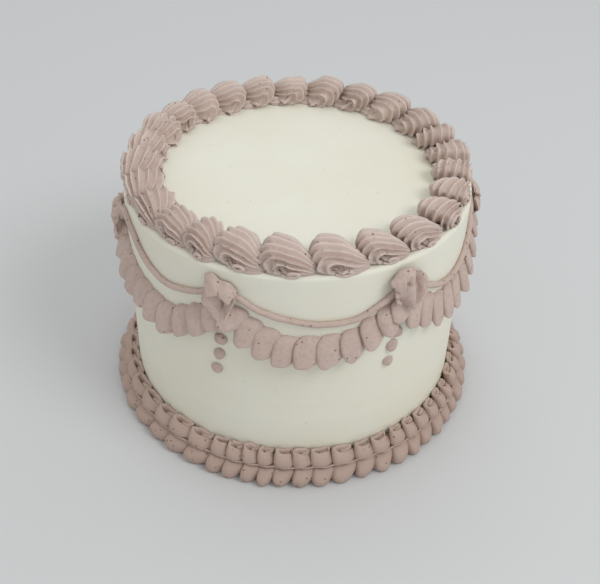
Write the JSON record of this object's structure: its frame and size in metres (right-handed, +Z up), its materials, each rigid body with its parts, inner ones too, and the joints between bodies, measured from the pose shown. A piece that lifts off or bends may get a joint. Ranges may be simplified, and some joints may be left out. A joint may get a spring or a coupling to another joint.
{
  "type": "lambeth cake",
  "caption": "Tall round iced cake with a piped shell border round its top, string swags and ruffled garlands hung between bows, dots below them and a double ruffle at its foot.",
  "frame": {"origin": "centre of the cake's flat base, on the surface it stands on", "axes": "+Z up the cake's axis; the side in the picture faces -Y, and +X is to its right"},
  "size_m": [0.187, 0.1866, 0.1302],
  "materials": {
    "Ivory buttercream": "smoothed icing, soft satin",
    "Mauve buttercream": "piped icing, matte"
  },
  "bodies": {
    "root": {"cake_body": "Ivory buttercream", "top_border": "Mauve buttercream", "foot_border": "Mauve buttercream", "string_1": "Mauve buttercream", "garland_1": "Mauve buttercream", "bow_1": "Mauve buttercream", "dot_1_1": "Mauve buttercream", "dot_1_2": "Mauve buttercream", "dot_1_3": "Mauve buttercream", "string_2": "Mauve buttercream", "garland_2": "Mauve buttercream", "bow_2": "Mauve buttercream", "dot_2_1": "Mauve buttercream", "dot_2_2": "Mauve buttercream", "dot_2_3": "Mauve buttercream", "string_3": "Mauve buttercream", "garland_3": "Mauve buttercream", "bow_3": "Mauve buttercream", "dot_3_1": "Mauve buttercream", "dot_3_2": "Mauve buttercream", "dot_3_3": "Mauve buttercream", "string_4": "Mauve buttercream", "garland_4": "Mauve buttercream", "bow_4": "Mauve buttercream", "dot_4_1": "Mauve buttercream", "dot_4_2": "Mauve buttercream", "dot_4_3": "Mauve buttercream", "string_5": "Mauve buttercream", "garland_5": "Mauve buttercream", "bow_5": "Mauve buttercream", "dot_5_1": "Mauve buttercream", "dot_5_2": "Mauve buttercream", "dot_5_3": "Mauve buttercream", "string_6": "Mauve buttercream", "garland_6": "Mauve buttercream", "bow_6": "Mauve buttercream", "dot_6_1": "Mauve buttercream", "dot_6_2": "Mauve buttercream", "dot_6_3": "Mauve buttercream"}
  },
  "joints": []
}
